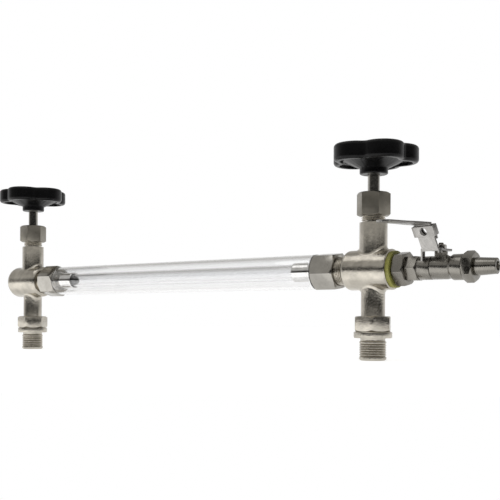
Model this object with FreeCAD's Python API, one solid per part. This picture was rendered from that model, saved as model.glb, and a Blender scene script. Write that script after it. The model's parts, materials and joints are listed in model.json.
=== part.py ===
import FreeCAD, Part
import math
import os

# Tubular level gauge: two screw-down gauge cocks hold a gauge glass inside a clear
# protection tube, and the lower cock carries a small ball valve for draining.
# Millimetres. +X runs along the tube towards the drain end, +Z is up along the
# valve spindles, and the origin is the centre of the lower cock's sealing collar.

V = FreeCAD.Vector

# Layout
CENTRES = 400.0            # distance between the two process connections
BARREL_Z = 52.0            # tube axis above the sealing faces

# Threads and hexagons
CREST_SHARE = 0.3          # flat of a crest, as a share of the pitch
ROOT_SHARE = 0.65
THREAD_DEPTH = 0.55
TURNED_SHARE = 0.985       # turned face of a hexagon, as a share of its flats
FINE_PITCH = 1.337         # G 1/4

# Casting
BARREL_R = 15.4
BARREL_ROUNDING = 4.0
BARREL_DOME = 7.0          # rounding of the upper cock's blind end
EDGE = 0.8                 # small chamfers
BARREL_FRONT = {"lower": 22.0, "upper": 18.0}
BARREL_BACK = {"lower": 17.5, "upper": 25.5}
BONNET_R = 10.75
BONNET_TOP = 36.0          # all heights on a cock count from the tube axis
LEG_R = 9.2
CAST_HEX = 26.4
CAST_HEX_CORNER = -5.0     # angle of a corner about the spindle, degrees
CAST_HEX_TOP = -35.3
CAST_HEX_BOTTOM = -47.1
CAST_HEX_CHAMFER = 1.5
CAST_HEX_SOFT = 1.8
COLLAR_R = 14.75
RELIEF_R = 9.6
RELIEF_LENGTH = 2.1
PROCESS_THREAD_R = 10.4775  # G 1/2
PROCESS_PITCH = 1.814
PROCESS_THREAD_LENGTH = 12.6
PROCESS_END = -69.0
PROCESS_BORE_R = 4.5
THROAT_R = 4.0
THROAT_Z = -16.0
BLEND_R = 3.5

# Valve inside a cock
CHAMBER_R = 8.0
CHAMBER_TOP = 20.0
SEAT_Z = -7.0
SPINDLE_R = 4.6
SPINDLE_THREAD_R = 4.95
SPINDLE_PITCH = 1.5
RUNNING = 0.05             # radial clearance of a running fit
GLAND_THREAD_R = 9.2
NECK_TOP = 53.0
PACKING_R = 7.0
PACKING_Z = 42.0
PACKING_RING = 2.3
PACKING_COUNT = 3
FOLLOWER_HEAD = 2.4        # follower's head above the neck
DISC_R = 6.5
DISC_NOSE_R = 3.6
SOCKET_R = 3.7             # swaged socket of the disc
HEAD_R = 3.6               # spindle's head inside the socket
TIP_R = 2.5                # spindle behind its head
THREAD_RUN = (4.6, 34.0)   # lifting thread on the spindle
GLAND_NUT_AF = 22.7
GLAND_NUT_Z = {"lower": (41.1, 59.0), "upper": (41.0, 57.6)}
GLAND_NUT_CHAMFER = 1.2
GLAND_NUT_CORNER = {"lower": 17.0, "upper": -5.5}

# Handwheel
WHEEL_R = 34.0
WHEEL_VALLEY_R = 27.8
WHEEL_LOBE_R = 16.5
WHEEL_LOBES = 5
WHEEL_VALLEY_ANGLE = {"lower": -4.0, "upper": -33.3}
WHEEL_ROUNDING = 2.8
WHEEL_WALL = 4.6
WHEEL_POCKET = 2.0         # depth of the hollow under the wheel
WHEEL_FLARE_R = 22.5       # the hub flares out to here under the wheel
WHEEL_FLARE_Z = 77.4
WHEEL_DISH = 3.4
DISH_R = (10.0, 19.0)      # floor and mouth of the dish
HUB_ROUNDING = 1.2
HUB_COLLAR = 3.0           # round seat below the square
SQUARE_LENGTH = 12.0
STUD_LENGTH = 7.0
WASHER_R = 6.4
WASHER = 1.2
WHEEL_NUT_AF = 10.0
WHEEL_NUT = 3.2
RIM_Z = (81.0, 94.2)
HUB_R = 10.8
HUB_Z = 72.8
SQUARE = 6.4
WHEEL_STUD_R = 3.0

# Tube end of a cock; distances count from the cock's axis towards the tube
TUBE_NUT_START = {"lower": 29.0, "upper": 23.4}
TUBE_NUT_CORNER = {"lower": -8.7, "upper": -16.0}
TUBE_NUT_AF = 27.0
TUBE_NUT_LENGTH = 21.0
TUBE_NUT_CHAMFER = 1.8
NUT_WALL = 3.0             # end wall of the tube nut
SEAL_START = 6.0           # elastomer ring, from the nut's inner end
SEAL_LENGTH = 5.0
TUBE_THREAD_R = 11.1
NECK_IN_NUT = 14.5
GLASS_R = 6.5
GLASS_WALL = 2.0
GLASS_STOP = 12.5
SLEEVE_R = 7.85
SLEEVE_REACH = 21.0
GUARD_R = 13.8
GUARD_WALL = 2.0

# Drain train on the lower cock; distances along X
GASKET = (17.5, 20.5)
GASKET_R = 13.9
REDUCER_AF = 23.6
REDUCER_END = 30.5
REDUCER_CORNER = 12.5
REDUCER_SPIGOT_R = 6.6
INSERT_THREAD_R = 6.5
INSERT_AF = 17.6
INSERT_HEX_END = 39.5
BODY_START = 50.0
BODY_R = 8.6
BODY_END_R = 9.4
BODY_END = 75.0
STEM_X = 56.0
BALL_R = 5.0
PORT_R = 2.75
CAVITY_R = 5.6
BOSS_R = 4.8
BOSS_TOP = 11.4
STEM_R = 2.5
NOZZLE_AF = 20.0
NOZZLE_HEX_END = 83.0
NOZZLE_END = 99.0
NOZZLE_BASE_R = 6.6
NOZZLE_TIP_R = 5.6
NOZZLE_BORE_R = 3.3
NOZZLE_GROOVE = 0.1

# Drain lever; distances count from the stem along the lever
LEVER_ANGLE = 257.6        # direction of the closed lever about +Z from +X, degrees
SHEET = 1.5
PLATE_Z = 12.0
PLATE_HALF = 5.6
PLATE_TAIL = 7.5
RISER_START = 11.0
RISER_LEAN = 28.0
RISER_WIDTH = 14.4
HANDLE_Z = 29.5            # at the top of the riser
HANDLE_FALL = 1.7          # the handle slopes down by this angle
LEVER_NUT_AF = 7.0
HANDLE_END = 67.0
HANDLE_TIP_WIDTH = 11.0
HANDLE_ROOT = 14.0         # length at full width
HANDLE_TIP = 22.0          # length at the tip's width
HANDLE_CORNER = 3.0
LEVER_STUD_R = 2.0
LEVER_NUT = 3.2
LEVER_NUT_CORNER = 15.0
EAR_OUT = 8.5
EAR_SPAN = (9.5, 12.6)
EAR_BOTTOM = {"left": 4.4, "right": 9.8}
SLIDER_WIDTH = 18.6
SLIDER_HEIGHT = 6.9
SLIDER_DEPTH = 5.0
SLIDER_SHEET = 1.0
SLIDER_TONGUE = 3.5
LOCK_HOLE_R = 3.0
LOCK_PLAY = 0.3

DIRECTIONS = {
    "drain": (V(0, -1, 0), V(0, 0, -1), V(1, 0, 0)),
    "far": (V(0, -1, 0), V(0, 0, 1), V(-1, 0, 0)),
}
TUBE_SIDE = {"lower": "far", "upper": "drain"}
BACK_SIDE = {"lower": "drain", "upper": "far"}
COCK_X = {"lower": 0.0, "upper": -CENTRES}


def set_along(shape, direction, x=0.0):
    """Turn a shape's own +Z to a named direction and put its origin on the tube axis at x."""
    x_axis, y_axis, z_axis = DIRECTIONS[direction]
    turn = FreeCAD.Rotation(x_axis, y_axis, z_axis, "ZXY")
    moved = shape.copy()
    moved.Placement = FreeCAD.Placement(V(x, 0, BARREL_Z), turn)
    return moved


def turned(outline):
    """Solid of revolution about +Z from a closed outline of (radius, height) points."""
    points = [V(r, 0, z) for r, z in outline]
    wire = Part.makePolygon(points + points[:1])
    return Part.Face(wire).revolve(V(0, 0, 0), V(0, 0, 1), 360)


def rod(radius, start, end):
    """Plain round bar along +Z."""
    return Part.makeCylinder(radius, end - start, V(0, 0, start))


def ring(inner, outer, start, end):
    """Plain ring or tube along +Z."""
    return turned([(inner, start), (outer, start), (outer, end), (inner, end)])


def threaded(crest, pitch, start, end):
    """Outline points of a thread cut as ring grooves, with flat crests and V roots."""
    root = crest - THREAD_DEPTH * pitch
    points = []
    z = start
    while z + pitch <= end:
        points += [(crest, z), (crest, z + CREST_SHARE * pitch), (root, z + ROOT_SHARE * pitch)]
        z += pitch
    return points + [(crest, z), (crest, end)]


def hex_bar(flats, start, end, corner=0.0, chamfer=1.2, soft=0.0):
    """Hexagon bar along +Z with turned chamfers and, if soft, rounded corners; corner is an angle."""
    corner_r = flats / math.sqrt(3.0)
    points = []
    for k in range(7):
        angle = math.radians(corner + 60.0 * k)
        points.append(V(corner_r * math.cos(angle), corner_r * math.sin(angle), start))
    bar = Part.Face(Part.makePolygon(points)).extrude(V(0, 0, end - start))
    if soft > 0:
        bar = bar.makeFillet(soft, [e for e in bar.Edges if e.BoundBox.ZLength > 0.5 * (end - start)])
    turned_r = 0.5 * flats * TURNED_SHARE
    envelope = turned([(0, start), (turned_r, start), (corner_r, start + chamfer),
                       (corner_r, end - chamfer), (turned_r, end), (0, end)])
    return bar.common(envelope)


def edges_where(shape, test):
    """Edges whose bounding box centre and curve type pass a test."""
    return [e for e in shape.Edges if test(e, e.BoundBox.Center)]


def circles_at(shape, radius, height):
    """Circular edges about +Z with the given radius and height."""
    return edges_where(shape, lambda e, c: e.Curve.TypeId == "Part::GeomCircle"
                       and abs(e.Curve.Radius - radius) < 1e-3 and abs(c.z - height) < 1e-3)


# ---- cock casting -------------------------------------------------------------------

def cast_barrel(cock):
    """Barrel of a cock, rounded at its cast ends; the lower one has a faced drain end."""
    front = BARREL_FRONT[cock]
    back = BARREL_BACK[cock]
    bar = rod(BARREL_R, -back, front)
    bar = bar.makeFillet(BARREL_ROUNDING, circles_at(bar, BARREL_R, front))
    if cock == "upper":
        return bar.makeFillet(BARREL_DOME, circles_at(bar, BARREL_R, -back))
    return bar.makeChamfer(EDGE, circles_at(bar, BARREL_R, -back))


def cast_cross(cock):
    """Barrel with the bonnet neck and the leg, blended where they meet."""
    barrel = set_along(cast_barrel(cock), TUBE_SIDE[cock])
    barrel.translate(V(0, 0, -BARREL_Z))
    cross = barrel.fuse([rod(BONNET_R, 0, BONNET_TOP), rod(LEG_R, CAST_HEX_TOP, 0)]).removeSplitter()
    plain = ("Part::GeomCircle", "Part::GeomLine")
    seams = edges_where(cross, lambda e, c: e.Curve.TypeId not in plain)
    return cross.makeFillet(BLEND_R, seams)


def cast_hex():
    """Cast spanner hexagon with soft corners."""
    return hex_bar(CAST_HEX, CAST_HEX_BOTTOM, CAST_HEX_TOP, CAST_HEX_CORNER, CAST_HEX_CHAMFER, CAST_HEX_SOFT)


def process_end():
    """Sealing collar, relief and process thread below the hexagon."""
    thread_top = -BARREL_Z - RELIEF_LENGTH
    low = -PROCESS_END - 1.0
    high = low - PROCESS_THREAD_LENGTH
    thread = [(r, -z) for r, z in threaded(PROCESS_THREAD_R, PROCESS_PITCH, high, low)]
    outline = [(0, CAST_HEX_BOTTOM), (COLLAR_R - 0.5, CAST_HEX_BOTTOM), (COLLAR_R, CAST_HEX_BOTTOM - 0.5),
               (COLLAR_R, 0.5 - BARREL_Z), (COLLAR_R - 0.5, -BARREL_Z), (RELIEF_R, -BARREL_Z),
               (RELIEF_R, thread_top), (PROCESS_THREAD_R, 0.5 - high)]
    return turned(outline + thread + [(PROCESS_THREAD_R - 1.0, PROCESS_END), (0, PROCESS_END)])


def bonnet_thread():
    """Gland thread above the bonnet neck, with its relief."""
    rows = threaded(GLAND_THREAD_R, SPINDLE_PITCH, BONNET_TOP + 1.6, NECK_TOP)
    relief_r = GLAND_THREAD_R - EDGE
    foot = [(0, BONNET_TOP - 1), (relief_r, BONNET_TOP - 1), (relief_r, BONNET_TOP + 1.2)]
    return turned(foot + rows + [(0, NECK_TOP)])


def tube_neck(cock):
    """Outer thread for the tube nut."""
    front = BARREL_FRONT[cock]
    end = TUBE_NUT_START[cock] + NECK_IN_NUT
    rows = threaded(TUBE_THREAD_R, SPINDLE_PITCH, front + 1.5, end)
    relief_r = TUBE_THREAD_R - EDGE
    foot = [(0, front - 5), (relief_r, front - 5), (relief_r, front + 1.1)]
    return turned(foot + rows + [(0, end)])


def cock_bores(cock):
    """All the spaces inside a cock, as one solid to cut."""
    nut = TUBE_NUT_START[cock]
    upright = turned([(0, PROCESS_END - 1), (PROCESS_BORE_R, PROCESS_END - 1), (PROCESS_BORE_R, THROAT_Z),
                      (THROAT_R, THROAT_Z), (THROAT_R, SEAT_Z), (CHAMBER_R, SEAT_Z), (CHAMBER_R, CHAMBER_TOP),
                      (SPINDLE_THREAD_R + RUNNING, CHAMBER_TOP + 2), (SPINDLE_THREAD_R + RUNNING, PACKING_Z),
                      (PACKING_R, PACKING_Z), (PACKING_R, NECK_TOP + 1), (0, NECK_TOP + 1)])
    pocket_r = GLASS_R + 0.1
    level = turned([(0, 0), (GLASS_R - GLASS_WALL, 0), (GLASS_R - GLASS_WALL, GLASS_STOP),
                    (pocket_r, GLASS_STOP), (pocket_r, nut + SEAL_START), (SLEEVE_R + 0.75, nut + SEAL_START),
                    (SLEEVE_R + 0.75, nut + NECK_IN_NUT + 1), (0, nut + NECK_IN_NUT + 1)])
    level = set_along(level, TUBE_SIDE[cock])
    level.translate(V(0, 0, -BARREL_Z))
    spaces = [level]
    if cock == "lower":
        back = BARREL_BACK[cock]
        drain = turned([(0, 0), (THROAT_R, 0), (THROAT_R, back - 8.2),
                        (REDUCER_SPIGOT_R, back - 8.2), (REDUCER_SPIGOT_R, back + 1), (0, back + 1)])
        drain = set_along(drain, BACK_SIDE[cock])
        drain.translate(V(0, 0, -BARREL_Z))
        spaces.append(drain)
    return upright.fuse(spaces)


def cock_body(cock):
    """Complete casting of one gauge cock."""
    neck = set_along(tube_neck(cock), TUBE_SIDE[cock])
    neck.translate(V(0, 0, -BARREL_Z))
    solid = cast_cross(cock).fuse([cast_hex(), process_end(), bonnet_thread(), neck])
    return solid.cut(cock_bores(cock)).removeSplitter()


# ---- valve parts of a cock ----------------------------------------------------------

def valve_disc():
    """Swivel disc with a nose that enters the seat and a swaged socket for the spindle."""
    face = SEAT_Z + 0.15
    mouth_r = TIP_R + 0.1
    return turned([(0, face - 2), (DISC_NOSE_R - 0.7, face - 2), (DISC_NOSE_R, face), (DISC_R, face),
                   (DISC_R, 1.5), (DISC_R - 0.9, 3.0), (mouth_r, 3.0), (mouth_r, -0.8), (SOCKET_R, -0.8),
                   (SOCKET_R, -3.0), (0, -3.0)])


def spindle():
    """Spindle with a headed tip, lifting thread, plain packed length, square and stud."""
    thread = threaded(SPINDLE_THREAD_R, SPINDLE_PITCH, THREAD_RUN[0], THREAD_RUN[1])
    top = HUB_Z + HUB_COLLAR
    tip = [(0, -2.9), (HEAD_R, -2.9), (HEAD_R, -0.9), (TIP_R, -0.9), (TIP_R, 3.3), (SPINDLE_THREAD_R - 0.9, 3.3)]
    stem = turned(tip + thread + [(SPINDLE_R, THREAD_RUN[1] + 0.4), (SPINDLE_R, top), (0, top)])
    square = Part.makeBox(SQUARE, SQUARE, SQUARE_LENGTH, V(-SQUARE / 2, -SQUARE / 2, top))
    stud = rod(WHEEL_STUD_R, top + SQUARE_LENGTH, top + SQUARE_LENGTH + STUD_LENGTH)
    return stem.fuse([square, stud]).removeSplitter()


def packing_rings():
    """Three square-section packing rings, stacked."""
    heights = [PACKING_Z + k * PACKING_RING for k in range(PACKING_COUNT)]
    return Part.makeCompound([ring(SPINDLE_R + RUNNING, PACKING_R, z, z + PACKING_RING) for z in heights])


def packing_follower():
    """Bush that the gland nut presses onto the packing."""
    low = PACKING_Z + PACKING_COUNT * PACKING_RING
    bore = SPINDLE_R + RUNNING
    return turned([(bore, low), (PACKING_R - 0.05, low), (PACKING_R - 0.05, NECK_TOP + 0.4),
                   (GLAND_THREAD_R - EDGE, NECK_TOP + 0.4),
                   (GLAND_THREAD_R - EDGE, NECK_TOP + FOLLOWER_HEAD), (bore, NECK_TOP + FOLLOWER_HEAD)])


def gland_nut(cock):
    """Bonnet nut over the packing follower."""
    low, high = GLAND_NUT_Z[cock]
    block = hex_bar(GLAND_NUT_AF, low, high, GLAND_NUT_CORNER[cock], GLAND_NUT_CHAMFER)
    shoulder = NECK_TOP + FOLLOWER_HEAD
    inside = turned([(0, low - 1), (GLAND_THREAD_R, low - 1), (GLAND_THREAD_R, shoulder),
                     (SPINDLE_R + 0.3, shoulder), (SPINDLE_R + 0.3, high + 1), (0, high + 1)])
    return block.cut(inside)


def wheel_outline(inset, height):
    """Lobed face: lobe arcs joined by hollow arcs tangent to both, moved inwards by an inset."""
    reach = WHEEL_R - inset
    valley = WHEEL_VALLEY_R - inset
    lobe = WHEEL_LOBE_R - inset
    centre = reach - lobe
    half = math.pi / WHEEL_LOBES
    k = math.cos(half)
    spare = centre ** 2 + valley ** 2 - 2 * centre * valley * k - lobe ** 2
    far = valley + spare / (2 * (lobe - valley + centre * k))
    turn = FreeCAD.Rotation(V(0, 0, 1), math.degrees(2 * half))
    edges = []
    for n in range(WHEEL_LOBES):
        mid = 2 * half * n
        lobe_c = V(centre * math.cos(mid), centre * math.sin(mid), height)
        touch = []
        for side in (-1, 1):
            hollow_c = V(far * math.cos(mid + side * half), far * math.sin(mid + side * half), height)
            touch.append(lobe_c + (hollow_c - lobe_c).normalize() * lobe)
        tip = V(reach * math.cos(mid), reach * math.sin(mid), height)
        edges.append(Part.Arc(touch[0], tip, touch[1]).toShape())
        dip = V(valley * math.cos(mid + half), valley * math.sin(mid + half), height)
        edges.append(Part.Arc(touch[1], dip, turn.multVec(touch[0])).toShape())
    return Part.Face(Part.Wire(edges))


def wheel_blank():
    """Outer form of the wheel with rounded rims."""
    low, high = RIM_Z
    blank = wheel_outline(0.0, low).extrude(V(0, 0, high - low))
    return blank.makeFillet(WHEEL_ROUNDING, [e for e in blank.Edges if e.BoundBox.ZLength < 1e-3])


def wheel_pocket():
    """Shallow hollow under the wheel, inside its rim."""
    return wheel_outline(WHEEL_WALL, RIM_Z[0] - 1).extrude(V(0, 0, WHEEL_POCKET + 1))


def wheel_flare():
    """Cone that widens the hub into the underside of the wheel."""
    top = RIM_Z[0] + WHEEL_POCKET
    return turned([(0, WHEEL_FLARE_Z), (HUB_R, WHEEL_FLARE_Z), (WHEEL_FLARE_R, top), (0, top)])


def handwheel(cock):
    """Lobed wheel with a dished top, a flared hub and a shallow hollow underside."""
    high = RIM_Z[1]
    hub = rod(HUB_R, HUB_Z, high - WHEEL_DISH)
    hub = hub.makeFillet(HUB_ROUNDING, circles_at(hub, HUB_R, HUB_Z))
    seat = high - WHEEL_DISH
    dish = turned([(0, seat), (DISH_R[0], seat), (DISH_R[1], high + 0.5), (0, high + 0.5)])
    across = SQUARE + 2 * RUNNING
    bore = Part.makeBox(across, across, 30, V(-across / 2, -across / 2, HUB_Z - 1))
    collar = rod(SPINDLE_R + 2 * RUNNING, HUB_Z - 1, HUB_Z + HUB_COLLAR)
    wheel = wheel_blank().cut(wheel_pocket()).fuse([hub, wheel_flare()])
    wheel.rotate(V(0, 0, 0), V(0, 0, 1), WHEEL_VALLEY_ANGLE[cock] + 180.0 / WHEEL_LOBES)
    return wheel.cut([dish, bore, collar]).removeSplitter()


def wheel_washer():
    """Flat washer in the wheel's dish."""
    seat = RIM_Z[1] - WHEEL_DISH
    return ring(WHEEL_STUD_R + 0.2, WASHER_R, seat, seat + WASHER)


def wheel_nut():
    """Hexagon nut that holds the wheel on the spindle's stud."""
    seat = RIM_Z[1] - WHEEL_DISH + WASHER
    nut = hex_bar(WHEEL_NUT_AF, seat, seat + WHEEL_NUT, chamfer=EDGE)
    return nut.cut(rod(WHEEL_STUD_R, seat - 1, seat + 2 * WHEEL_NUT))


# ---- tube end of a cock -------------------------------------------------------------

def tube_nut(cock):
    """Union nut on the tube side, with a short spigot that centres the protection tube."""
    low = TUBE_NUT_START[cock]
    high = low + TUBE_NUT_LENGTH
    block = hex_bar(TUBE_NUT_AF, low, high, TUBE_NUT_CORNER[cock], TUBE_NUT_CHAMFER)
    spigot = rod(GUARD_R - GUARD_WALL - 0.1, high - 1, high + 1.5)
    wall = high - NUT_WALL
    inside = turned([(0, low - 1), (TUBE_THREAD_R, low - 1), (TUBE_THREAD_R, wall), (SLEEVE_R + 0.1, wall),
                     (SLEEVE_R + 0.1, high + 3), (0, high + 3)])
    return block.fuse(spigot).cut(inside).removeSplitter()


def tube_packing(cock):
    """Elastomer ring that seals the gauge glass."""
    low = TUBE_NUT_START[cock] + SEAL_START
    return ring(GLASS_R, SLEEVE_R + 0.7, low, low + SEAL_LENGTH)


def tube_sleeve(cock):
    """Pusher sleeve: it loads the seal and reaches out over the glass."""
    nut = TUBE_NUT_START[cock]
    bore = GLASS_R + 0.25
    shoulder = nut + TUBE_NUT_LENGTH - NUT_WALL
    mouth = nut + TUBE_NUT_LENGTH + SLEEVE_REACH
    flange_r = TUBE_THREAD_R - 1.3
    return turned([(bore, nut + 11), (SLEEVE_R + 0.65, nut + 11), (SLEEVE_R + 0.65, nut + 15),
                   (flange_r, nut + 15), (flange_r, shoulder), (SLEEVE_R, shoulder),
                   (SLEEVE_R, mouth - 0.5), (SLEEVE_R - 0.4, mouth), (bore, mouth)])


def gauge_glass():
    """Gauge glass from one cock's stop to the other's, with fire-rounded ends."""
    end = CENTRES - GLASS_STOP - 0.2
    tube = ring(GLASS_R - GLASS_WALL, GLASS_R, GLASS_STOP + 0.2, end)
    rims = circles_at(tube, GLASS_R, GLASS_STOP + 0.2) + circles_at(tube, GLASS_R, end)
    return tube.makeFillet(0.6, rims)


def protection_tube():
    """Clear outer tube between the two tube nuts."""
    start = TUBE_NUT_START["lower"] + TUBE_NUT_LENGTH
    end = CENTRES - TUBE_NUT_START["upper"] - TUBE_NUT_LENGTH
    return ring(GUARD_R - GUARD_WALL, GUARD_R, start, end)


# ---- drain train --------------------------------------------------------------------

def drain_gasket():
    """Fibre gasket between the drain flange and the reducer."""
    return ring(REDUCER_SPIGOT_R + 0.3, GASKET_R, GASKET[0], GASKET[1])


def drain_reducer():
    """Hexagon reducer: screws into the cock and takes the ball valve."""
    low = GASKET[1]
    block = hex_bar(REDUCER_AF, low + 0.8, REDUCER_END, REDUCER_CORNER, chamfer=1.6)
    collar = rod(REDUCER_AF / 2 - 0.8, low, low + 2)
    spigot = turned([(0, 9.5), (REDUCER_SPIGOT_R - 0.8, 9.5)]
                    + threaded(REDUCER_SPIGOT_R, FINE_PITCH, 10.3, low - 1) + [(0, low - 1)])
    neck = rod(REDUCER_SPIGOT_R - 0.5, low - 1, low)
    inside = turned([(0, 8), (THROAT_R, 8), (THROAT_R, 23), (INSERT_THREAD_R, 23),
                     (INSERT_THREAD_R, REDUCER_END - 0.8), (INSERT_THREAD_R + 0.8, REDUCER_END),
                     (INSERT_THREAD_R + 0.8, REDUCER_END + 1), (0, REDUCER_END + 1)])
    return block.fuse([collar, spigot, neck]).cut(inside).removeSplitter()


def valve_insert():
    """Screwed end of the ball valve: male thread, spanner hexagon and round shank."""
    thread = turned([(0, 24), (INSERT_THREAD_R - 0.8, 24)]
                    + threaded(INSERT_THREAD_R, FINE_PITCH, 24.8, REDUCER_END) + [(0, REDUCER_END)])
    hexagon = hex_bar(INSERT_AF, REDUCER_END, INSERT_HEX_END, chamfer=1.0)
    shank_r = BODY_R + 0.05
    groove_r = shank_r - 0.6
    end = BODY_START - 0.1
    pocket = STEM_X - BALL_R - 0.2
    shank = turned([(0, INSERT_HEX_END), (groove_r, INSERT_HEX_END), (groove_r, INSERT_HEX_END + 0.6),
                    (shank_r, INSERT_HEX_END + 1.0), (shank_r, end - 0.5), (shank_r - 0.5, end),
                    (CAVITY_R, end), (CAVITY_R, pocket), (0, pocket)])
    bore = rod(PORT_R, 20, 60)
    return thread.fuse([hexagon, shank]).cut(bore).removeSplitter()


def valve_body():
    """Body of the ball valve, with the stem boss on top and the nozzle socket."""
    outline = [(0, BODY_START), (BODY_R - 0.5, BODY_START), (BODY_R, BODY_START + 0.5), (BODY_R, 62.0),
               (BODY_R - 0.35, 63.2), (BODY_R - 0.35, 64.6), (BODY_END_R, 66.6), (BODY_END_R, BODY_END - 0.8),
               (BODY_END_R - 0.6, BODY_END), (0, BODY_END)]
    barrel = set_along(turned(outline), "drain")
    barrel.translate(V(-STEM_X, 0, -BARREL_Z))
    boss = rod(BOSS_R, 0, BOSS_TOP)
    lug = Part.makeBox(3.2, 5.0, BOSS_TOP - 2.6, V(BOSS_R - 1.0, -7.2, 0))
    solid = barrel.fuse([boss, lug])
    cavity = turned([(0, BODY_START - 1), (CAVITY_R, BODY_START - 1), (CAVITY_R, STEM_X + BALL_R + 0.2),
                     (PORT_R, STEM_X + BALL_R + 0.2), (PORT_R, 66.0), (CAVITY_R - 0.2, 66.0),
                     (CAVITY_R - 0.2, BODY_END + 1), (0, BODY_END + 1)])
    cavity = set_along(cavity, "drain")
    cavity.translate(V(-STEM_X, 0, -BARREL_Z))
    stem_way = turned([(0, 0), (STEM_R + RUNNING, 0), (STEM_R + RUNNING, 7.6), (3.4, 7.6),
                       (3.4, BOSS_TOP + 1), (0, BOSS_TOP + 1)])
    return solid.cut([cavity, stem_way]).removeSplitter()


def ball():
    """Ball with its port and the slot for the stem; closed, so the port lies across."""
    slot = Part.makeBox(8, 1.7, 3, V(-4, -0.85, BALL_R - 1.6))
    port = Part.makeCylinder(PORT_R, 4 * BALL_R, V(-2 * BALL_R, 0, 0), V(1, 0, 0))
    shape = Part.makeSphere(BALL_R).cut([slot, port])
    shape.rotate(V(0, 0, 0), V(0, 0, 1), 90)
    return shape


def ball_seats():
    """Two seat rings that hold the ball between them."""
    seats = []
    for side in (-1, 1):
        inner = ring(PORT_R + 0.4, CAVITY_R - 0.05, STEM_R + 0.3, BALL_R + 0.15)
        turn = FreeCAD.Rotation(V(0, 0, 1), V(side, 0, 0))
        inner.Placement = FreeCAD.Placement(V(0, 0, 0), turn)
        seats.append(inner.cut(Part.makeSphere(BALL_R + RUNNING)))
    return Part.makeCompound(seats)


def ball_stem():
    """Stem with a tang in the ball, a shoulder, flats under the lever and a threaded end."""
    tang = Part.makeBox(4.2, 1.6, 1.6, V(-2.1, -0.8, BALL_R - 1.5))
    tang.rotate(V(0, 0, 0), V(0, 0, 1), 90)
    shaft = rod(STEM_R, BALL_R + 0.1, PLATE_Z)
    end = turned([(0, PLATE_Z)] + threaded(LEVER_STUD_R, 0.7, PLATE_Z, 17.6) + [(1.5, 18.1), (0, 18.1)])
    return shaft.fuse([tang, end]).removeSplitter()


def stem_packing():
    """Packing ring around the ball stem."""
    return ring(STEM_R + RUNNING, 3.35, 7.6, 9.4)


def stem_gland():
    """Gland ring that holds the stem packing."""
    return turned([(STEM_R + RUNNING, 9.4), (3.35, 9.4), (3.35, BOSS_TOP), (BOSS_R - 0.2, BOSS_TOP),
                   (BOSS_R - 0.2, BOSS_TOP + 0.35), (STEM_R + RUNNING, BOSS_TOP + 0.35)])


def nozzle():
    """Outlet nozzle with a hexagon and a tapered, finely grooved end."""
    hexagon = hex_bar(NOZZLE_AF, BODY_END, NOZZLE_HEX_END, 30.0, chamfer=1.4)
    spigot = turned([(0, 67.0), (CAVITY_R - 1.0, 67.0)]
                    + threaded(CAVITY_R - 0.2, 1.0, 67.8, BODY_END) + [(0, BODY_END)])
    rows = []
    pitch = FINE_PITCH
    z = NOZZLE_HEX_END + 0.9
    while z < NOZZLE_END - 1.5:
        share = (z - NOZZLE_HEX_END) / (NOZZLE_END - NOZZLE_HEX_END)
        r = NOZZLE_BASE_R + share * (NOZZLE_TIP_R - NOZZLE_BASE_R)
        rows += [(r, z), (r, z + 0.85 * pitch), (r - NOZZLE_GROOVE, z + 0.92 * pitch)]
        z += pitch
    tip = [(NOZZLE_TIP_R, NOZZLE_END - 0.9), (NOZZLE_TIP_R - 0.9, NOZZLE_END), (0, NOZZLE_END)]
    taper = turned([(0, NOZZLE_HEX_END), (NOZZLE_BASE_R - 0.6, NOZZLE_HEX_END)] + rows + tip)
    bore = rod(NOZZLE_BORE_R, 60, NOZZLE_END + 1)
    return hexagon.fuse([spigot, taper]).cut(bore).removeSplitter()


# ---- lever, drawn pointing along +X from the stem -----------------------------------

def lean():
    """Unit step up the riser and its outward normal."""
    a = math.radians(RISER_LEAN)
    return V(math.sin(a), 0, math.cos(a)), V(math.cos(a), 0, -math.sin(a))


def plate(points, thickness, normal):
    """Flat sheet from a closed outline of points, thickened along its normal."""
    return Part.Face(Part.makePolygon(points + points[:1])).extrude(normal * thickness)


def riser_point(height, side, out=0.0):
    """A point on the riser's inner face at a height above the tube axis."""
    up, normal = lean()
    step = (height - PLATE_Z) / up.z
    return V(RISER_START, side, PLATE_Z) + up * step + normal * out


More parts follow.
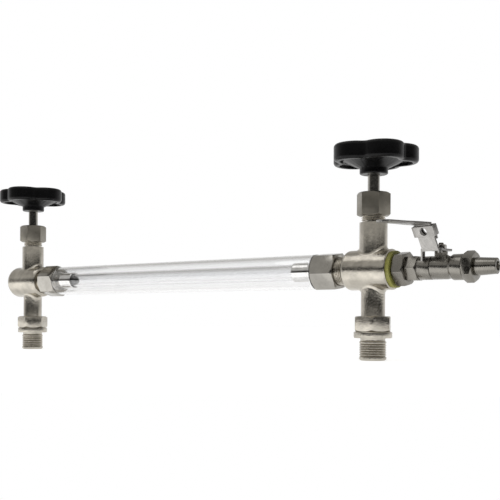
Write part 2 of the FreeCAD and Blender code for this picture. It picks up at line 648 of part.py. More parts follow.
def lever():
    """Stamped lever: base plate, two ears bent down, leaning riser and long handle."""
    half = RISER_WIDTH / 2
    base = [V(-PLATE_TAIL, -PLATE_HALF + 2, PLATE_Z), V(-PLATE_TAIL + 2, -PLATE_HALF, PLATE_Z),
            V(5, -PLATE_HALF, PLATE_Z), V(EAR_SPAN[0], -EAR_OUT, PLATE_Z), V(EAR_SPAN[1], -EAR_OUT, PLATE_Z),
            V(EAR_SPAN[1], EAR_OUT, PLATE_Z), V(EAR_SPAN[0], EAR_OUT, PLATE_Z), V(5, PLATE_HALF, PLATE_Z),
            V(-PLATE_TAIL + 2, PLATE_HALF, PLATE_Z), V(-PLATE_TAIL, PLATE_HALF - 2, PLATE_Z)]
    solid = plate(base, SHEET, V(0, 0, 1))
    for side, bottom in ((-1, EAR_BOTTOM["left"]), (1, EAR_BOTTOM["right"])):
        low_y = min(side * EAR_OUT, side * (EAR_OUT - SHEET))
        ear = Part.makeBox(EAR_SPAN[1] - EAR_SPAN[0], SHEET, PLATE_Z + SHEET - bottom,
                           V(EAR_SPAN[0], low_y, bottom))
        solid = solid.fuse(ear)
    normal = lean()[1]
    top = HANDLE_Z + SHEET
    riser = plate([riser_point(PLATE_Z, -half), riser_point(PLATE_Z, half),
                   riser_point(top, half), riser_point(top, -half)], SHEET, normal)
    start = riser_point(HANDLE_Z, 0).x
    tip = HANDLE_TIP_WIDTH / 2
    near = [(start, half), (start + HANDLE_ROOT, half), (HANDLE_END - HANDLE_TIP, tip),
            (HANDLE_END - HANDLE_CORNER, tip), (HANDLE_END, tip - HANDLE_CORNER)]
    outline = [V(x, y, HANDLE_Z) for x, y in near] + [V(x, -y, HANDLE_Z) for x, y in reversed(near)]
    handle = plate(outline, SHEET, V(0, 0, 1))
    handle.rotate(V(start, 0, HANDLE_Z), V(0, 1, 0), HANDLE_FALL)
    hole = rod(LEVER_STUD_R, PLATE_Z - 1, PLATE_Z + SHEET + 1)
    lock = lock_hole(LOCK_HOLE_R + LOCK_PLAY)
    return solid.fuse([riser, handle]).cut([hole, lock]).removeSplitter()


def slider_centre():
    """Middle of the slider on the riser's inner face, with the slider raised."""
    return riser_point(HANDLE_Z - 0.4 - SLIDER_HEIGHT / 2, 0)


def lock_hole(radius):
    """Straight hole through the riser and the raised slider."""
    normal = lean()[1]
    return Part.makeCylinder(radius, 24, slider_centre() - normal * 12, normal)


def lock_slider():
    """Folded slide that wraps the riser, with a tongue behind it and the padlock hole."""
    up, normal = lean()
    half = SLIDER_WIDTH / 2
    centre = slider_centre()

    def slab(out, thickness, width, low, high):
        corner = centre + normal * out
        outline = [corner + up * low - V(0, width, 0), corner + up * low + V(0, width, 0),
                   corner + up * high + V(0, width, 0), corner + up * high - V(0, width, 0)]
        return plate(outline, thickness, normal)

    tall = SLIDER_HEIGHT / 2 / up.z
    front_out = SHEET + 0.1
    back_out = front_out + SLIDER_SHEET - SLIDER_DEPTH
    block = slab(back_out, SLIDER_DEPTH, half, -tall, tall)
    inner = SLIDER_DEPTH - 2 * SLIDER_SHEET
    hollow = slab(back_out + SLIDER_SHEET, inner, half - SLIDER_SHEET, -2 * tall, 2 * tall)
    tongue = slab(back_out, SLIDER_SHEET, RISER_WIDTH / 2, -tall - SLIDER_TONGUE, tall)
    hole = lock_hole(LOCK_HOLE_R)
    return block.cut(hollow).fuse(tongue).cut(hole).removeSplitter()


def lever_nut():
    """Hexagon nut that clamps the lever on the stem."""
    low = PLATE_Z + SHEET
    nut = hex_bar(LEVER_NUT_AF, low, low + LEVER_NUT, LEVER_NUT_CORNER, chamfer=0.6)
    return nut.cut(rod(LEVER_STUD_R, low - 1, low + LEVER_NUT + 1))


# ---- placing and writing ------------------------------------------------------------

def on_cock(shape, cock):
    """Put an upright piece drawn about the tube axis on a cock."""
    placed = shape.copy()
    placed.translate(V(COCK_X[cock], 0, BARREL_Z))
    return placed


def on_stem(shape, turn=0.0):
    """Put a piece drawn about the ball valve's stem in place, turned about the stem."""
    placed = shape.copy()
    placed.rotate(V(0, 0, 0), V(0, 0, 1), turn)
    placed.translate(V(STEM_X, 0, BARREL_Z))
    return placed


def cock_nodes(cock):
    """All the pieces of one gauge cock by node name."""
    x = COCK_X[cock]
    side = TUBE_SIDE[cock]
    return {
        f"{cock}_cock_body": on_cock(cock_body(cock), cock),
        f"{cock}_valve_disc": on_cock(valve_disc(), cock),
        f"{cock}_spindle": on_cock(spindle(), cock),
        f"{cock}_packing_rings": on_cock(packing_rings(), cock),
        f"{cock}_packing_follower": on_cock(packing_follower(), cock),
        f"{cock}_gland_nut": on_cock(gland_nut(cock), cock),
        f"{cock}_handwheel": on_cock(handwheel(cock), cock),
        f"{cock}_wheel_washer": on_cock(wheel_washer(), cock),
        f"{cock}_wheel_nut": on_cock(wheel_nut(), cock),
        f"{cock}_tube_nut": set_along(tube_nut(cock), side, x),
        f"{cock}_tube_packing": set_along(tube_packing(cock), side, x),
        f"{cock}_tube_sleeve": set_along(tube_sleeve(cock), side, x),
    }


def drain_nodes():
    """All the pieces of the drain train by node name."""
    return {
        "drain_gasket": set_along(drain_gasket(), "drain"),
        "drain_reducer": set_along(drain_reducer(), "drain"),
        "ball_valve_insert": set_along(valve_insert(), "drain"),
        "ball_valve_body": on_stem(valve_body()),
        "drain_ball": on_stem(ball()),
        "ball_seats": on_stem(ball_seats()),
        "ball_stem": on_stem(ball_stem()),
        "stem_packing": on_stem(stem_packing()),
        "stem_gland": on_stem(stem_gland()),
        "drain_lever": on_stem(lever(), LEVER_ANGLE),
        "lever_nut": on_stem(lever_nut(), LEVER_ANGLE),
        "lock_slider": on_stem(lock_slider(), LEVER_ANGLE),
        "drain_nozzle": set_along(nozzle(), "drain"),
    }


def main():
    """Build every piece and write one STEP file each."""
    os.makedirs("parts", exist_ok=True)
    nodes = {
        "gauge_glass": set_along(gauge_glass(), "far"),
        "protection_tube": set_along(protection_tube(), "far"),
    }
    for cock in ("lower", "upper"):
        nodes.update(cock_nodes(cock))
    nodes.update(drain_nodes())
    for name, shape in nodes.items():
        shape.exportStep(f"parts/{name}.step")
        print(name, "valid", shape.isValid(), "solids", len(shape.Solids), "volume", round(shape.Volume))


main()
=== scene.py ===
import json
import math

import bpy
import numpy as np
from bpy.props import FloatProperty, FloatVectorProperty, IntProperty, PointerProperty
from bpy.types import Operator, Panel, PropertyGroup
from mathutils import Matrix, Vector

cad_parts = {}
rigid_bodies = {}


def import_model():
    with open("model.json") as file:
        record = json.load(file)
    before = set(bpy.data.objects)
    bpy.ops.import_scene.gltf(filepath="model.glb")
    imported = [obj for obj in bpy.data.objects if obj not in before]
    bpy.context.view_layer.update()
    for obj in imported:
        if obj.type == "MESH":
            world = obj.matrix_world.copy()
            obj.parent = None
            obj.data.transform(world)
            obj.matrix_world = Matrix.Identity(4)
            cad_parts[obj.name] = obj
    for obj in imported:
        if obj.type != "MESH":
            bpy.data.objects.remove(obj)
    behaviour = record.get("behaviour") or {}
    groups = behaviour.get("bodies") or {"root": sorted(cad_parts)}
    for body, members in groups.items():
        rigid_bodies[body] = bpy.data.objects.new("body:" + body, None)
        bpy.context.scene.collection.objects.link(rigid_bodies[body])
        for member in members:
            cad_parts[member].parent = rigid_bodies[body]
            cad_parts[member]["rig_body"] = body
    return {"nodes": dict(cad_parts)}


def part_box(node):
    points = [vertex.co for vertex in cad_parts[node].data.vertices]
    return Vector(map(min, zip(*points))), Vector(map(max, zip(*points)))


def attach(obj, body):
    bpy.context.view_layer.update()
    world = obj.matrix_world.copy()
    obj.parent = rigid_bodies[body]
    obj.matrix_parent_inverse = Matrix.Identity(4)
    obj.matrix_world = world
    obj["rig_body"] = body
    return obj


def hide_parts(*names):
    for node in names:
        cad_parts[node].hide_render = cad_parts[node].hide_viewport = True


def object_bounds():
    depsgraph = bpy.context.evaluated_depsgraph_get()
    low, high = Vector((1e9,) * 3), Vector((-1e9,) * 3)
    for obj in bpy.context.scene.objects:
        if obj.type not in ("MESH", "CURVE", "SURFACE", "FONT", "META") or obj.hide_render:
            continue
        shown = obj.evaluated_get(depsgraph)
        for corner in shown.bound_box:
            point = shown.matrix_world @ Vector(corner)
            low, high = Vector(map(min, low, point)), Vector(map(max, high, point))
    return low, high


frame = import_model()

bl_info = {
    "name": "Tubular sight glass",
    "version": (1, 0, 0),
    "blender": (4, 5, 0),
    "location": "3D View > Sidebar > Sight Glass",
    "description": "Builds the looks of a tubular level gauge around its packed CAD frame",
    "category": "Object",
}

MM = 0.001
COCKS = ("lower", "upper")
CAD_BOX = [list(corner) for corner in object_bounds()]

SHARP_ANGLE = math.radians(32.0)   # a steeper fold than this stays a sharp edge
BREAK_ANGLE = math.radians(28.0)   # an edge steeper than this is broken
FLAT_ANGLE = math.radians(0.5)     # faces nearer than this to one plane become one face
WELD_REACH = 0.002 * MM

X_AXIS, Y_AXIS, Z_AXIS = range(3)
MIX_LOW, MIX_HIGH, MIX_RESULT = 6, 7, 2   # the colour sockets of a Mix node

FINISH_BY_ENDING = {
    "cock_body": "casting",
    "handwheel": "plastic",
    "packing_rings": "graphite",
    "tube_packing": "rubber",
    "drain_gasket": "fibre",
    "ball_seats": "seat",
    "stem_packing": "seat",
    "protection_tube": "acrylic",
    "gauge_glass": "glass",
    "tube_sleeve": "polished",
    "tube_nut": "turned_x",
    "gland_nut": "milled",
    "drain_reducer": "valve",
    "ball_valve_insert": "valve",
    "ball_valve_body": "valve",
    "drain_nozzle": "nozzle",
    "drain_lever": "sheet",
    "lock_slider": "sheet",
}
METALWORK = {
    "lower_gland_nut": "lower_bonnet_nut",
    "upper_gland_nut": "upper_bonnet_nut",
    "lower_tube_nut": "lower_union_nut",
    "upper_tube_nut": "upper_union_nut",
    "drain_reducer": "hexagon_reducer",
    "ball_valve_insert": "screwed_insert",
    "ball_valve_body": "valve_barrel",
    "drain_nozzle": "outlet_nozzle",
    "drain_lever": "pressed_lever",
    "lock_slider": "folded_slider",
    "lever_nut": "stem_nut",
}


def centre(node):
    """Middle of a CAD node's box."""
    low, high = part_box(node)
    return (low + high) / 2


TUBE_Z = centre("protection_tube").z


# ---- settings -----------------------------------------------------------------------

def colour(name, description, value):
    """A colour setting."""
    return FloatVectorProperty(name=name, description=description, subtype="COLOR", size=3,
                               min=0.0, max=1.0, default=value)


def length(name, description, value):
    """A length setting in metres."""
    return FloatProperty(name=name, description=description, default=value, unit="LENGTH",
                         subtype="DISTANCE", precision=5)


class SIGHTGLASS_PG_finish(PropertyGroup):
    """Colours and surface depths of the metals, plastics and seals."""
    casting: colour("Casting", "Blasted cast stainless steel", (0.46, 0.43, 0.375))
    machined: colour("Machined", "Turned stainless steel", (0.36, 0.345, 0.315))
    milled: colour("Milled", "Dull milled flats of the bonnet nuts", (0.26, 0.242, 0.205))
    valve: colour("Valve", "Bead-blasted steel of the drain valve", (0.225, 0.214, 0.192))
    sheet: colour("Sheet", "Pressed stainless sheet", (0.36, 0.35, 0.335))
    polished: colour("Polished", "Polished tube sleeve", (0.75, 0.74, 0.72))
    plastic: colour("Handwheel", "Black moulded handwheel", (0.003, 0.003, 0.0032))
    gasket: colour("Gasket", "Pressed fibre gasket", (0.24, 0.235, 0.05))
    glass: colour("Glass", "Tint of the clear tubes", (0.945, 0.946, 0.95))
    rubber: colour("Rubber", "Black tube packings", (0.03, 0.03, 0.03))
    graphite: colour("Graphite", "Packing rings round the spindles", (0.07, 0.07, 0.075))
    seat: colour("Seat", "White polymer of the ball seats and stem packing", (0.8, 0.8, 0.77))
    pit_depth: length("Pit depth", "Depth of the casting's blasted pits", 0.10 * MM)
    tool_mark: length("Tool mark", "Depth of the fine turning marks", 0.004 * MM)


class SIGHTGLASS_PG_sizes(PropertyGroup):
    """Sizes that only the looks use."""
    edge_break: length("Edge break", "Width of the rounded edges on machined pieces", 0.15 * MM)
    cast_edge: length("Cast edge", "Width of the rounded edges on castings", 0.6 * MM)
    moulded_edge: length("Moulded edge", "Width of the rounded edges on the handwheels", 0.5 * MM)
    tube_wall: length("Tube wall", "Wall of both clear tubes", 2.0 * MM)
    sleeve_flange: length("Sleeve flange", "How far the flange stands out from the gauge glass", 3.3 * MM)
    sleeve_gap: length("Sleeve gap", "Clearance of the sleeve round the gauge glass", 0.25 * MM)
    sleeve_wall: length("Sleeve wall", "Wall of the polished sleeve", 1.1 * MM)
    sleeve_nose: length("Sleeve nose", "Length of the nose that presses the seal", 4.0 * MM)
    sleeve_foot: length("Sleeve foot", "Length of the sleeve's flange", 3.0 * MM)
    sleeve_step: length("Sleeve step", "Height of the flange over the nose", 1.3 * MM)
    round_steps: IntProperty(name="Steps round", description="Facets round a turned surface",
                             default=160, min=24)


class SIGHTGLASS_PG_stage(PropertyGroup):
    """Camera, lights and floor."""
    camera_angle: FloatProperty(name="Camera angle", description="Direction of view, turned from +Y",
                                default=math.radians(37.3), subtype="ANGLE")
    camera_place: FloatVectorProperty(name="Camera place", description="Where the camera stands",
                                      default=(0.3416, -0.6032, 0.011), subtype="TRANSLATION",
                                      unit="LENGTH")
    camera_roll: FloatProperty(name="Camera roll", description="Small roll of the camera",
                               default=math.radians(0.35), subtype="ANGLE")
    lens: FloatProperty(name="Lens", description="Focal length in millimetres", default=64.8)
    rise: FloatProperty(name="Rise", description="Upward shift of the frame, in frame widths",
                        default=0.146)
    sky: FloatProperty(name="Room light", description="Strength of the white room", default=1.0)
    key: FloatProperty(name="Top light", description="Power of the soft light above, in watts",
                       default=2.0)
    key_back: length("Top light back", "How far the top light stands off the tube towards -Y", 0.25)
    key_height: length("Top light height", "Height of the top light", 0.9)
    key_long: length("Top light length", "Side of the top light along the tube", 1.1)
    key_wide: length("Top light width", "Side of the top light across the tube", 0.5)
    floor_glow: FloatProperty(name="Floor glow", description="Light that comes up through the floor",
                              default=1.32)
    back_share: FloatProperty(name="Back share", default=0.57, min=0.0, max=1.0,
                              description="Glow behind the tube, as a share of the front's")
    front_edge: length("Front edge",
                       "The floor brightens from this far in front of the tube to twice as far", 0.035)
    floor_front: length("Floor front", "How far the floor reaches towards the camera", 0.42)
    floor_reach: length("Floor reach", "Half width of the floor", 3.0)


# ---- materials ----------------------------------------------------------------------

def new_material(name):
    """A new node material, with its tree and its shader."""
    material = bpy.data.materials.new(name)
    material.use_nodes = True
    tree = material.node_tree
    shader = tree.nodes["Principled BSDF"]
    return material, tree, shader


def add(tree, kind, values=(), **settings):
    """A node of a kind with settings by attribute and input values by name."""
    node = tree.nodes.new(kind)
    for key, value in settings.items():
        setattr(node, key, value)
    for key, value in dict(values).items():
        node.inputs[key].default_value = value
    return node


def placed(tree, scale=(1.0, 1.0, 1.0)):
    """Object coordinates through a Mapping node."""
    where = add(tree, "ShaderNodeTexCoord")
    mapping = add(tree, "ShaderNodeMapping", {"Scale": scale})
    tree.links.new(where.outputs["Object"], mapping.inputs["Vector"])
    return mapping.outputs["Vector"]


def noise(tree, vector, scale, detail=4.0, rough=0.55):
    """A noise field; where the vector isn't stretched, scale counts its cells to the metre."""
    field = add(tree, "ShaderNodeTexNoise", {"Scale": scale, "Detail": detail, "Roughness": rough})
    tree.links.new(vector, field.inputs["Vector"])
    return field.outputs["Fac"]


def ramp(tree, factor, stops):
    """A colour ramp with (place, colour) stops."""
    node = add(tree, "ShaderNodeValToRGB")
    elements = node.color_ramp.elements
    while len(elements) < len(stops):
        elements.new(0.5)
    for element, (place, tone) in zip(elements, stops):
        element.position = place
        element.color = (*tone, 1.0)
    tree.links.new(factor, node.inputs["Fac"])
    return node.outputs["Color"]


def between(tree, factor, low, high, in_low=0.3, in_high=0.7):
    """A field stretched from one range to another."""
    ranges = {"From Min": in_low, "From Max": in_high, "To Min": low, "To Max": high}
    node = add(tree, "ShaderNodeMapRange", ranges)
    tree.links.new(factor, node.inputs["Value"])
    return node.outputs["Result"]


def blend(tree, factor, low, high):
    """One colour field faded into another."""
    node = add(tree, "ShaderNodeMix", data_type="RGBA")
    tree.links.new(factor, node.inputs["Factor"])
    tree.links.new(low, node.inputs[MIX_LOW])
    tree.links.new(high, node.inputs[MIX_HIGH])
    return node.outputs[MIX_RESULT]


def bump(tree, height, distance, under=None):
    """A bump layer, on top of another if one is given."""
    node = add(tree, "ShaderNodeBump", {"Distance": distance, "Strength": 1.0})
    tree.links.new(height, node.inputs["Height"])
    if under is not None:
        tree.links.new(under, node.inputs["Normal"])
    return node.outputs["Normal"]


def shaded(tone, amount):
    """A colour made darker or lighter by a factor."""
    return tuple(min(1.0, channel * amount) for channel in tone)


def grey(amount):
    """A neutral colour."""
    return (amount, amount, amount)


def cast_steel(name, tone, depth):
    """Blasted casting: a surface that waves a little, grain and fine pits, cloudy tone and
    uneven gloss."""
    material, tree, shader = new_material(name)
    vector = placed(tree)
    clouds = noise(tree, vector, scale=90.0, detail=5.0)
    waves = noise(tree, vector, scale=160.0, detail=2.0)
    grains = noise(tree, vector, scale=900.0, detail=3.0, rough=0.6)
    pits = noise(tree, vector, scale=2600.0, detail=2.0, rough=0.5)
    tree.links.new(ramp(tree, clouds, [(0.35, shaded(tone, 0.82)), (0.65, shaded(tone, 1.12))]),
                   shader.inputs["Base Color"])
    tree.links.new(between(tree, grains, low=0.11, high=0.22), shader.inputs["Roughness"])
    waved = bump(tree, waves, 1.6 * depth)
    grained = bump(tree, grains, depth, under=waved)
    tree.links.new(bump(tree, pits, 0.6 * depth, under=grained), shader.inputs["Normal"])
    shader.inputs["Metallic"].default_value = 1.0
    return material


def turned_steel(name, tone, depth, along, rough=(0.15, 0.25)):
    """Machined steel: fine marks that follow one another along one axis, faint clouds and small
    handling marks; rough is the range of its roughness."""
    material, tree, shader = new_material(name)
    stretch = [60.0, 60.0, 60.0]
    stretch[along] = 1700.0
    marks = noise(tree, placed(tree, stretch), scale=1.0, detail=1.0, rough=0.5)
    vector = placed(tree)
    clouds = noise(tree, vector, scale=130.0, detail=4.0)
    smears = noise(tree, vector, scale=620.0, detail=3.0)
    tree.links.new(ramp(tree, clouds, [(0.3, shaded(tone, 0.86)), (0.7, shaded(tone, 1.1))]),
                   shader.inputs["Base Color"])
    tree.links.new(between(tree, smears, *rough), shader.inputs["Roughness"])
    marked = bump(tree, marks, depth)
    tree.links.new(bump(tree, smears, 0.8 * depth, under=marked), shader.inputs["Normal"])
    shader.inputs["Metallic"].default_value = 1.0
    return material


def moulded_plastic(name, tone):
    """Moulded plastic with a fine spark-eroded grain and a weak gloss."""
    material, tree, shader = new_material(name)
    vector = placed(tree)
    grain = noise(tree, vector, scale=1500.0, detail=3.0)
    clouds = noise(tree, vector, scale=70.0, detail=3.0)
    tree.links.new(ramp(tree, clouds, [(0.3, shaded(tone, 0.8)), (0.7, shaded(tone, 1.5))]),
                   shader.inputs["Base Color"])
    tree.links.new(between(tree, grain, low=0.24, high=0.36), shader.inputs["Roughness"])
    tree.links.new(bump(tree, grain, 0.012 * MM), shader.inputs["Normal"])
    shader.inputs["Specular IOR Level"].default_value = 0.15
    return material


def clear_wall(name, tint, ior):
    """Clear tube wall with faint draw lines along the tube."""
    material, tree, shader = new_material(name)
    draw = noise(tree, placed(tree, (2.0, 170.0, 170.0)), scale=1.0, detail=2.0)
    tree.links.new(between(tree, draw, low=0.0, high=0.03), shader.inputs["Roughness"])
    tree.links.new(bump(tree, draw, 0.02 * MM), shader.inputs["Normal"])
    shader.inputs["Base Color"].default_value = (*tint, 1.0)
    shader.inputs["Transmission Weight"].default_value = 1.0
    shader.inputs["IOR"].default_value = ior
    return material


def pressed_fibre(name, tone):
    """Compressed fibre sheet: short mottled fibres and a dull surface."""
    material, tree, shader = new_material(name)
    fibres = noise(tree, placed(tree, (700.0, 2600.0, 2600.0)), scale=1.0, detail=4.0, rough=0.7)
    clouds = noise(tree, placed(tree), scale=240.0, detail=3.0)
    mottled = ramp(tree, fibres, [(0.3, shaded(tone, 0.62)), (0.5, tone), (0.72, shaded(tone, 1.5))])
    tree.links.new(mottled, shader.inputs["Base Color"])
    tree.links.new(between(tree, clouds, low=0.5, high=0.75), shader.inputs["Roughness"])
    tree.links.new(bump(tree, fibres, 0.06 * MM), shader.inputs["Normal"])
    return material


def soft_seal(name, tone, rough):
    """Rubber, packing or seat polymer with a fine mottle, its roughness a little either side of
    rough."""
    material, tree, shader = new_material(name)
    mottle = noise(tree, placed(tree), scale=800.0, detail=4.0)
    tree.links.new(ramp(tree, mottle, [(0.3, shaded(tone, 0.75)), (0.7, shaded(tone, 1.25))]),
                   shader.inputs["Base Color"])
    tree.links.new(between(tree, mottle, rough - 0.1, rough + 0.1), shader.inputs["Roughness"])
    tree.links.new(bump(tree, mottle, 0.03 * MM), shader.inputs["Normal"])
    return material


def make_materials(finish):
    """Every finish of the object by its own name."""
    depth = finish.tool_mark
    return {
        "casting": cast_steel("blasted_casting", finish.casting, finish.pit_depth),
        "turned_x": turned_steel("turned_along_tube", finish.machined, depth, X_AXIS),
        "turned_z": turned_steel("turned_along_spindle", finish.machined, depth, Z_AXIS),
        "milled": turned_steel("milled_flats", finish.milled, depth, Z_AXIS, (0.34, 0.46)),
        "valve": turned_steel("valve_steel", finish.valve, depth, X_AXIS, (0.2, 0.32)),
        "polished": turned_steel("polished_sleeve", finish.polished, 0.3 * depth, X_AXIS, (0.06, 0.13)),
        "nozzle": turned_steel("nozzle_steel", finish.valve, depth, X_AXIS, (0.14, 0.26)),
        "sheet": turned_steel("pressed_sheet", finish.sheet, 0.4 * depth, Y_AXIS, (0.3, 0.42)),
        "plastic": moulded_plastic("black_moulding", finish.plastic),
        "glass": clear_wall("gauge_glass_wall", finish.glass, 1.47),
        "acrylic": clear_wall("protection_wall", finish.glass, 1.49),
        "fibre": pressed_fibre("green_fibre_sheet", finish.gasket),
        "rubber": soft_seal("black_seal", finish.rubber, 0.6),
        "graphite": soft_seal("graphite_packing", finish.graphite, 0.5),
        "seat": soft_seal("white_seat_polymer", finish.seat, 0.4),
    }


FINISHES = {}   # filled by the first step


def dress(thing, node):
    """Give an object the finish of a CAD node, told by the ending of the node's name."""
    finish = next((FINISH_BY_ENDING[end] for end in FINISH_BY_ENDING if node.endswith(end)), "turned_z")
    thing.data.materials.clear()
    thing.data.materials.append(FINISHES[finish])


# ---- surfaces -----------------------------------------------------------------------

def grid_mesh(name, points, wrap_u=True, wrap_v=True):
    """Mesh from an array of points over two parameters: point (i, j) joins (i + 1, j) and
    (i, j + 1), and each direction closes on itself where it wraps."""
    count_u, count_v = points.shape[:2]
    u = np.arange(count_u if wrap_u else count_u - 1)
    v = np.arange(count_v if wrap_v else count_v - 1)
    i, j = np.meshgrid(u, v, indexing="ij")
    i2 = (i + 1) % count_u
    j2 = (j + 1) % count_v
    corners = (i * count_v + j, i2 * count_v + j, i2 * count_v + j2, i * count_v + j2)
    faces = np.stack(corners, axis=-1).reshape(-1, 4)
    mesh = bpy.data.meshes.new(name)
    mesh.from_pydata(points.reshape(-1, 3).tolist(), [], faces.tolist())
    mesh.validate()
    mesh.update()
    mesh.shade_smooth()
    mesh.set_sharp_from_angle(angle=SHARP_ANGLE)
    piece = bpy.data.objects.new(name, mesh)
    bpy.context.scene.collection.objects.link(piece)
    return piece


def lathe_x(name, stations, radii, steps):
    """Turned ring along the tube: each (x, r) of a closed profile goes round the tube axis,
    so that a point is (x, r cos t, tube height + r sin t)."""
    turn = np.linspace(2.0 * math.pi, 0.0, steps, endpoint=False)
    t, x = np.meshgrid(turn, stations, indexing="ij")
    r = np.broadcast_to(radii, x.shape)
    points = np.stack([x, r * np.cos(t), TUBE_Z + r * np.sin(t)], axis=-1)
    return grid_mesh(name, points)


def clean_copy(node, name, edge):
    """Welded copy of a CAD node with its hard edges broken by a small rounded bevel."""
    mesh = frame["nodes"][node].data.copy()
    mesh.name = name
    mesh.materials.clear()
    mesh.shade_smooth()
    piece = bpy.data.objects.new(name, mesh)
    bpy.context.scene.collection.objects.link(piece)
    weld = piece.modifiers.new("weld", "WELD")
    weld.merge_threshold = WELD_REACH
    flatten = piece.modifiers.new("planar", "DECIMATE")
    flatten.decimate_type = "DISSOLVE"
    flatten.angle_limit = FLAT_ANGLE
    soften = piece.modifiers.new("edge", "BEVEL")
    soften.width = edge
    soften.segments = 2
    soften.limit_method = "ANGLE"
    soften.angle_limit = BREAK_ANGLE
    soften.harden_normals = True
    soften.use_clamp_overlap = True
    graph = bpy.context.evaluated_depsgraph_get()
    finished = bpy.data.meshes.new_from_object(piece.evaluated_get(graph))
    piece.modifiers.clear()
    piece.data = finished
    bpy.data.meshes.remove(mesh)
    finished.name = name
    finished.set_sharp_from_angle(angle=SHARP_ANGLE)
    return piece


def swap_in(piece, node):
    """Put a piece in the place of a CAD node, with the node's finish and body."""
    dress(piece, node)
    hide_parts(node)
    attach(piece, frame["nodes"][node]["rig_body"])


# ---- operators ----------------------------------------------------------------------

class SIGHTGLASS_OT_finishes(Operator):
    """Make every finish, and give each CAD node its own"""
    bl_idname = "sightglass.finishes"
    bl_label = "Finishes"

    def execute(self, context):
        FINISHES.update(make_materials(context.scene.sightglass_finish))
        for node, thing in frame["nodes"].items():
            dress(thing, node)
        return {"FINISHED"}


class SIGHTGLASS_OT_stage(Operator):
    """Pale floor, white room, soft light and the camera"""
    bl_idname = "sightglass.stage"
    bl_label = "Stage"

    def execute(self, context):
        stage = context.scene.sightglass_stage
        make_floor(stage)
        make_room(stage)
        make_top_light(stage)
        make_camera(stage)
        context.scene.view_settings.view_transform = "Standard"
        return {"FINISHED"}


def make_floor(stage):
    """Pale sheet that glows as a light table does, more in front of the tube than behind it. It is
    turned to face the camera, and ends a little way in front of the object."""
    steps = 25
    sideways = np.linspace(-stage.floor_reach, stage.floor_reach, steps)
    away = np.linspace(-stage.floor_front, 2 * stage.floor_reach, steps)
    across, along = np.meshgrid(sideways, away, indexing="ij")
    angle = stage.camera_angle
    middle = (Vector(CAD_BOX[0]) + Vector(CAD_BOX[1])) / 2
    x = middle.x + across * math.cos(angle) - along * math.sin(angle)
    y = middle.y + across * math.sin(angle) + along * math.cos(angle)
    z = np.full_like(x, CAD_BOX[0][2])
    floor = grid_mesh("floor", np.stack([x, y, z], axis=-1), wrap_u=False, wrap_v=False)
    material, tree, shader = new_material("pale_floor")
    specks = noise(tree, placed(tree), scale=30.0)
    tree.links.new(ramp(tree, specks, [(0.3, grey(0.49)), (0.7, grey(0.51))]), shader.inputs["Base Color"])
    shader.inputs["Roughness"].default_value = 0.9
    place = add(tree, "ShaderNodeSeparateXYZ")
    tree.links.new(placed(tree), place.inputs["Vector"])
    behind = between(tree, place.outputs["Y"], low=0.0, high=1.0,
                     in_low=-2 * stage.front_edge, in_high=-stage.front_edge)
    glow = ramp(tree, behind, [(0.0, grey(1.0)), (1.0, grey(stage.back_share))])
    tree.links.new(glow, shader.inputs["Emission Color"])
    shader.inputs["Emission Strength"].default_value = stage.floor_glow
    floor.data.materials.append(material)


def make_room(stage):
    """White room: its walls darken towards the side that the camera stands on, and a soft box
    takes over above them. The camera itself sees plain white in its place."""
    world = bpy.data.worlds.new("white_room")
    bpy.context.scene.world = world
    world.use_nodes = True
    tree = world.node_tree
    background = tree.nodes["Background"]
    where = add(tree, "ShaderNodeTexCoord")
    facing = add(tree, "ShaderNodeVectorMath", operation="DOT_PRODUCT")
    angle = stage.camera_angle
    facing.inputs[1].default_value = (math.sin(angle), -math.cos(angle), 0.0)
    tree.links.new(where.outputs["Generated"], facing.inputs[0])
    spread = between(tree, facing.outputs["Value"], low=0.0, high=1.0, in_low=-1.0, in_high=1.0)
    walls = ramp(tree, spread, [(0.0, grey(1.0)), (0.34, grey(0.85)), (0.52, (0.12, 0.117, 0.11)),
                                (0.72, (0.02, 0.02, 0.019)), (1.0, grey(0.012))])
    height = add(tree, "ShaderNodeSeparateXYZ")
    tree.links.new(where.outputs["Generated"], height.inputs["Vector"])
    soft_box = ramp(tree, height.outputs["Z"], [(0.0, (0.50, 0.495, 0.48)), (0.35, (0.62, 0.615, 0.60)),
                                                (0.7, (0.50, 0.49, 0.47)), (1.0, (0.3, 0.3, 0.29))])
    raised = between(tree, height.outputs["Z"], low=0.0, high=1.0, in_low=0.19, in_high=0.36)
    room = blend(tree, raised, walls, soft_box)
    seen = add(tree, "ShaderNodeLightPath")
    shown = add(tree, "ShaderNodeMix", {MIX_HIGH: (*grey(1.0), 1.0)}, data_type="RGBA")
    tree.links.new(seen.outputs["Is Camera Ray"], shown.inputs["Factor"])
    tree.links.new(room, shown.inputs[MIX_LOW])
    tree.links.new(shown.outputs[MIX_RESULT], background.inputs["Color"])
    background.inputs["Strength"].default_value = stage.sky


def make_top_light(stage):
    """Long soft light above the tube, turned to face the middle of the object."""
    middle = (Vector(CAD_BOX[0]) + Vector(CAD_BOX[1])) / 2
    place = Vector((middle.x, middle.y - stage.key_back, stage.key_height))
    data = bpy.data.lights.new("top_light", "AREA")
    data.shape = "RECTANGLE"
    data.size = stage.key_long
    data.size_y = stage.key_wide
    data.energy = stage.key
    light = bpy.data.objects.new("top_light", data)
    light.location = place
    light.rotation_euler = (middle - place).to_track_quat("-Z", "Y").to_euler()
    bpy.context.scene.collection.objects.link(light)


def make_camera(stage):
    """Level camera with an upward shift and a slight roll."""
    data = bpy.data.cameras.new("camera")
    data.lens = stage.lens
    data.shift_y = stage.rise
    data.clip_start = 0.01
    camera = bpy.data.objects.new("camera", data)
    camera.location = stage.camera_place
    camera.rotation_mode = "XYZ"
    camera.rotation_euler = (math.radians(90.0), 0.0, stage.camera_angle)
    camera.rotation_euler.rotate_axis("Z", stage.camera_roll)
    bpy.context.scene.collection.objects.link(camera)
    bpy.context.scene.camera = camera


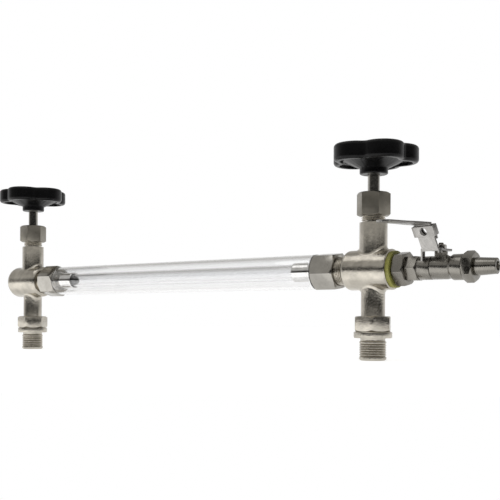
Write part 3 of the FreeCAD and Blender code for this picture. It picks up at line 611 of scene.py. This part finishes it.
class SIGHTGLASS_OT_tubes(Operator):
    """Gauge glass and protection tube as smooth closed tubes with rounded ends"""
    bl_idname = "sightglass.tubes"
    bl_label = "Clear tubes"

    def execute(self, context):
        sizes = context.scene.sightglass_sizes
        for node in ("protection_tube", "gauge_glass"):
            low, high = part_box(node)
            outer = (high.z - low.z) / 2
            wall = tube_wall(f"{node}_wall", low.x, high.x, outer, sizes.tube_wall, sizes.round_steps)
            swap_in(wall, node)
        return {"FINISHED"}


def tube_wall(name, start, end, outer, wall, steps):
    """Closed tube: its profile is a long box whose two ends are half ellipses in the wall,
    x = end - bulge + bulge cos t and r = outer - half + half sin t."""
    count = 9
    turn = np.linspace(-math.pi / 2, math.pi / 2, count)
    half = wall / 2
    bulge = 0.35 * half
    x_end = end - bulge + bulge * np.cos(turn)
    r_end = outer - half + half * np.sin(turn)
    x_start = start + bulge - bulge * np.cos(turn)
    straight = np.linspace(end - wall, start + wall, count)
    x = np.concatenate([x_end, straight, x_start, straight[::-1]])
    r = np.concatenate([r_end, np.full(count, outer), r_end[::-1], np.full(count, outer - wall)])
    return lathe_x(name, x, r, steps)


class SIGHTGLASS_OT_castings(Operator):
    """Cock castings with soft cast edges"""
    bl_idname = "sightglass.castings"
    bl_label = "Castings"

    def execute(self, context):
        edge = context.scene.sightglass_sizes.cast_edge
        for cock in COCKS:
            node = f"{cock}_cock_body"
            swap_in(clean_copy(node, f"{cock}_casting", edge), node)
        return {"FINISHED"}


class SIGHTGLASS_OT_handwheels(Operator):
    """Moulded handwheels with softened edges"""
    bl_idname = "sightglass.handwheels"
    bl_label = "Handwheels"

    def execute(self, context):
        edge = context.scene.sightglass_sizes.moulded_edge
        for cock in COCKS:
            node = f"{cock}_handwheel"
            swap_in(clean_copy(node, f"{cock}_moulded_wheel", edge), node)
        return {"FINISHED"}


class SIGHTGLASS_OT_sleeves(Operator):
    """Polished pusher sleeves as smooth closed rings"""
    bl_idname = "sightglass.sleeves"
    bl_label = "Sleeves"

    def execute(self, context):
        sizes = context.scene.sightglass_sizes
        for cock in COCKS:
            swap_in(sleeve(cock, sizes), f"{cock}_tube_sleeve")
        return {"FINISHED"}


def sleeve(cock, sizes):
    """Stepped sleeve: the ring's profile runs along the bore, over the rounded mouth, back along
    the tube, and down the flange and the nose. x counts from the end of the nose towards the
    mouth, and the mouth is the half circle x = long - lip + lip cos t, r = bore + lip + lip sin t."""
    low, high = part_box(f"{cock}_tube_sleeve")
    start, way = (high.x, -1) if cock == "lower" else (low.x, 1)
    long = high.x - low.x
    flange = (high.z - low.z) / 2
    bore = flange - sizes.sleeve_flange + sizes.sleeve_gap
    tube = bore + sizes.sleeve_wall
    nose = flange - sizes.sleeve_step
    lip = sizes.sleeve_wall / 2
    nose_end = sizes.sleeve_nose
    flange_end = nose_end + sizes.sleeve_foot
    count = 8
    turn = np.linspace(-math.pi / 2, math.pi / 2, 7)
    x = np.concatenate([
        np.linspace(0.0, long - 2 * lip, count),
        long - lip + lip * np.cos(turn),
        np.linspace(long - 2 * lip, flange_end, count),
        [flange_end, nose_end, nose_end, 0.0],
    ])
    r = np.concatenate([
        np.full(count, bore),
        bore + lip + lip * np.sin(turn),
        np.full(count, tube),
        [flange, flange, nose, nose],
    ])
    return lathe_x(f"{cock}_polished_sleeve", (start + way * x)[::way], r[::way], sizes.round_steps)


class SIGHTGLASS_OT_metalwork(Operator):
    """Nuts, drain train, lever and slider with their edges broken"""
    bl_idname = "sightglass.metalwork"
    bl_label = "Metalwork"

    def execute(self, context):
        edge = context.scene.sightglass_sizes.edge_break
        for node, name in METALWORK.items():
            swap_in(clean_copy(node, name, edge), node)
        return {"FINISHED"}


class SIGHTGLASS_PT_panel(Panel):
    """The steps in order, then every setting"""
    bl_idname = "SIGHTGLASS_PT_panel"
    bl_label = "Sight Glass"
    bl_space_type = "VIEW_3D"
    bl_region_type = "UI"
    bl_category = "Sight Glass"

    def draw(self, context):
        for step in STEPS:
            self.layout.operator(step.bl_idname)
        for group in ("sightglass_finish", "sightglass_sizes", "sightglass_stage"):
            settings = getattr(context.scene, group)
            for name in settings.__annotations__:
                self.layout.prop(settings, name)


GROUPS = {
    "sightglass_finish": SIGHTGLASS_PG_finish,
    "sightglass_sizes": SIGHTGLASS_PG_sizes,
    "sightglass_stage": SIGHTGLASS_PG_stage,
}
STEPS = (SIGHTGLASS_OT_finishes, SIGHTGLASS_OT_stage, SIGHTGLASS_OT_castings, SIGHTGLASS_OT_handwheels,
         SIGHTGLASS_OT_tubes, SIGHTGLASS_OT_sleeves, SIGHTGLASS_OT_metalwork)


def register():
    """Register the classes and hang the settings on the scene."""
    for kind in (*GROUPS.values(), *STEPS, SIGHTGLASS_PT_panel):
        bpy.utils.register_class(kind)
    for name, group in GROUPS.items():
        setattr(bpy.types.Scene, name, PointerProperty(type=group))


def unregister():
    """Undo register."""
    for name in GROUPS:
        delattr(bpy.types.Scene, name)
    for kind in (SIGHTGLASS_PT_panel, *reversed(STEPS), *reversed(GROUPS.values())):
        bpy.utils.unregister_class(kind)


def main():
    """Run every step in order."""
    register()
    for step in STEPS:
        family, action = step.bl_idname.split(".")
        getattr(getattr(bpy.ops, family), action)()


if __name__ == "__main__":
    main()
